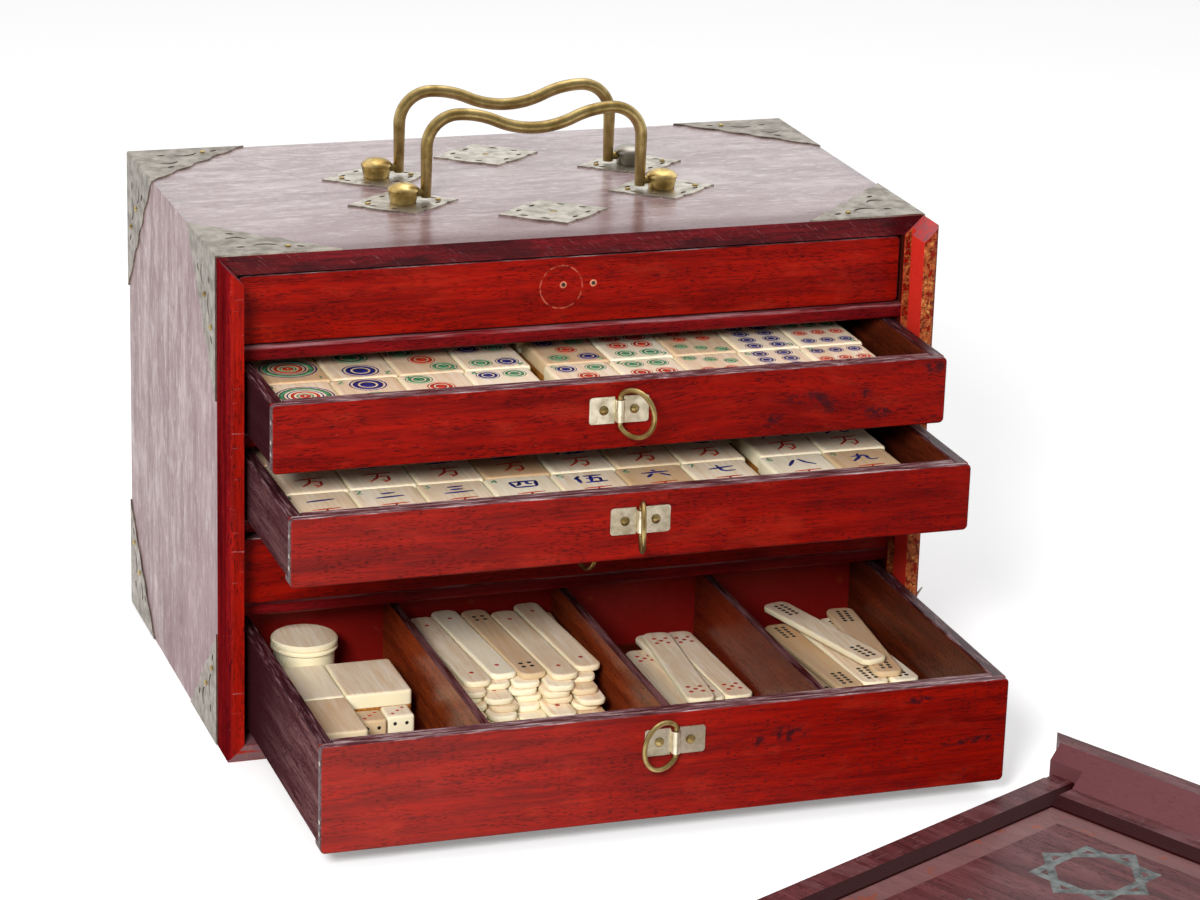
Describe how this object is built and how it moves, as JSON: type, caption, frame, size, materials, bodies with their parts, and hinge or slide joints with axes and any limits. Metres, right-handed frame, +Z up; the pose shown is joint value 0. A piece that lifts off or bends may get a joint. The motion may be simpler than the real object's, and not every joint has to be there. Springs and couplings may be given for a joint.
{
  "type": "tile game case with drawers",
  "caption": "Mitred hardwood game case: stacked drawers with ring pulls, twin brass bail handles, pierced nickel corners, tiles and counters in the drawers, lift-out front cover beside it",
  "frame": {"origin": "middle of the case footprint, on the table it stands on", "axes": "+Z up, drawers pull out towards -Y, +X to the right seen from the front"},
  "size_m": [0.3796, 0.5256, 0.2036],
  "materials": {
    "rosewood": "oiled red hardwood, worn",
    "dusty_rosewood": "dry dusty red hardwood",
    "drawer_wood": "stained softwood",
    "nickel": "nickel silver sheet, dull",
    "brass": "aged brass",
    "bone": "bone and bamboo",
    "inlay": "grey metal inlay"
  },
  "bodies": {
    "case": {"left_side": "dusty_rosewood", "right_side": "dusty_rosewood", "top_board": "dusty_rosewood", "back_board": "dusty_rosewood", "bottom_board": "dusty_rosewood", "left_moulding": "rosewood", "right_moulding": "rosewood", "bottom_moulding": "rosewood", "rail_1": "rosewood", "rail_2": "rosewood", "rail_3": "rosewood", "rail_4": "rosewood", "drawer_runners": "drawer_wood", "top_mount_front_left": "nickel", "top_mount_back_left": "nickel", "top_mount_front_right": "nickel", "top_mount_back_right": "nickel", "bottom_corner_mounts": "nickel", "handle_plates": "nickel", "centre_plates": "nickel", "handle_posts": "brass"},
    "front_bail": {"front_bail": "brass"},
    "back_bail": {"back_bail": "brass"},
    "drawer_1": {"drawer_1_front": "rosewood", "drawer_1_walls": "drawer_wood", "drawer_1_bottom": "drawer_wood"},
    "drawer_2": {"drawer_2_front": "rosewood", "drawer_2_walls": "drawer_wood", "drawer_2_bottom": "drawer_wood", "drawer_2_pull": "nickel", "dot_tiles": "bone"},
    "ring_2": {"drawer_2_ring": "brass"},
    "drawer_3": {"drawer_3_front": "rosewood", "drawer_3_walls": "drawer_wood", "drawer_3_bottom": "drawer_wood", "drawer_3_pull": "nickel", "character_tiles": "bone"},
    "ring_3": {"drawer_3_ring": "brass"},
    "drawer_4": {"drawer_4_front": "rosewood", "drawer_4_walls": "drawer_wood", "drawer_4_bottom": "drawer_wood", "drawer_4_pull": "nickel"},
    "ring_4": {"drawer_4_ring": "brass"},
    "drawer_5": {"drawer_5_front": "rosewood", "drawer_5_walls": "drawer_wood", "drawer_5_bottom": "drawer_wood", "drawer_5_pull": "nickel", "drawer_5_dividers": "drawer_wood", "spare_tiles": "bone", "dice": "bone", "bone_box": "bone", "middle_counters": "bone", "flat_counters": "bone", "right_counters": "bone"},
    "ring_5": {"drawer_5_ring": "brass"},
    "cover": {"cover_frame": "rosewood", "cover_panel": "rosewood", "cover_inlay": "inlay", "cover_top_bar": "rosewood"}
  },
  "joints": [
    {"name": "drawer_1_slide", "type": "slide", "parent": "case", "child": "drawer_1", "axis": [0, -1, 0], "range_m": [0, 0.118]},
    {"name": "drawer_2_slide", "type": "slide", "parent": "case", "child": "drawer_2", "axis": [0, -1, 0], "range_m": [-0.0452, 0.0728]},
    {"name": "ring_2_swing", "type": "hinge", "parent": "drawer_2", "child": "ring_2", "pos_m": [0, -0.10823, 0.1244], "axis": [0, 0, 1], "range_deg": [-120, 48]},
    {"name": "drawer_3_slide", "type": "slide", "parent": "case", "child": "drawer_3", "axis": [0, -1, 0], "range_m": [-0.0697, 0.0483]},
    {"name": "ring_3_swing", "type": "hinge", "parent": "drawer_3", "child": "ring_3", "pos_m": [0, -0.13273, 0.0946], "axis": [0, 0, 1], "range_deg": [-68, 100]},
    {"name": "drawer_4_slide", "type": "slide", "parent": "case", "child": "drawer_4", "axis": [0, -1, 0], "range_m": [-0.004, 0.114]},
    {"name": "ring_4_swing", "type": "hinge", "parent": "drawer_4", "child": "ring_4", "pos_m": [0, -0.06703, 0.0648], "axis": [0, 0, 1], "range_deg": [-94, 74]},
    {"name": "drawer_5_slide", "type": "slide", "parent": "case", "child": "drawer_5", "axis": [0, -1, 0], "range_m": [-0.1097, 0.0083]},
    {"name": "ring_5_swing", "type": "hinge", "parent": "drawer_5", "child": "ring_5", "pos_m": [0, -0.17273, 0.0337], "axis": [0, 0, 1], "range_deg": [-18, 150]},
    {"name": "front_bail_hinge", "type": "hinge", "parent": "case", "child": "front_bail", "pos_m": [0, -0.01, 0.1748], "axis": [1, 0, 0], "range_deg": [-92, 92]},
    {"name": "back_bail_hinge", "type": "hinge", "parent": "case", "child": "back_bail", "pos_m": [0, 0.025, 0.1748], "axis": [1, 0, 0], "range_deg": [-92, 92]},
    {"name": "cover_lift", "type": "slide", "parent": "case", "child": "cover", "axis": [0, 0, 1], "range_m": [0, 0.18]}
  ]
}
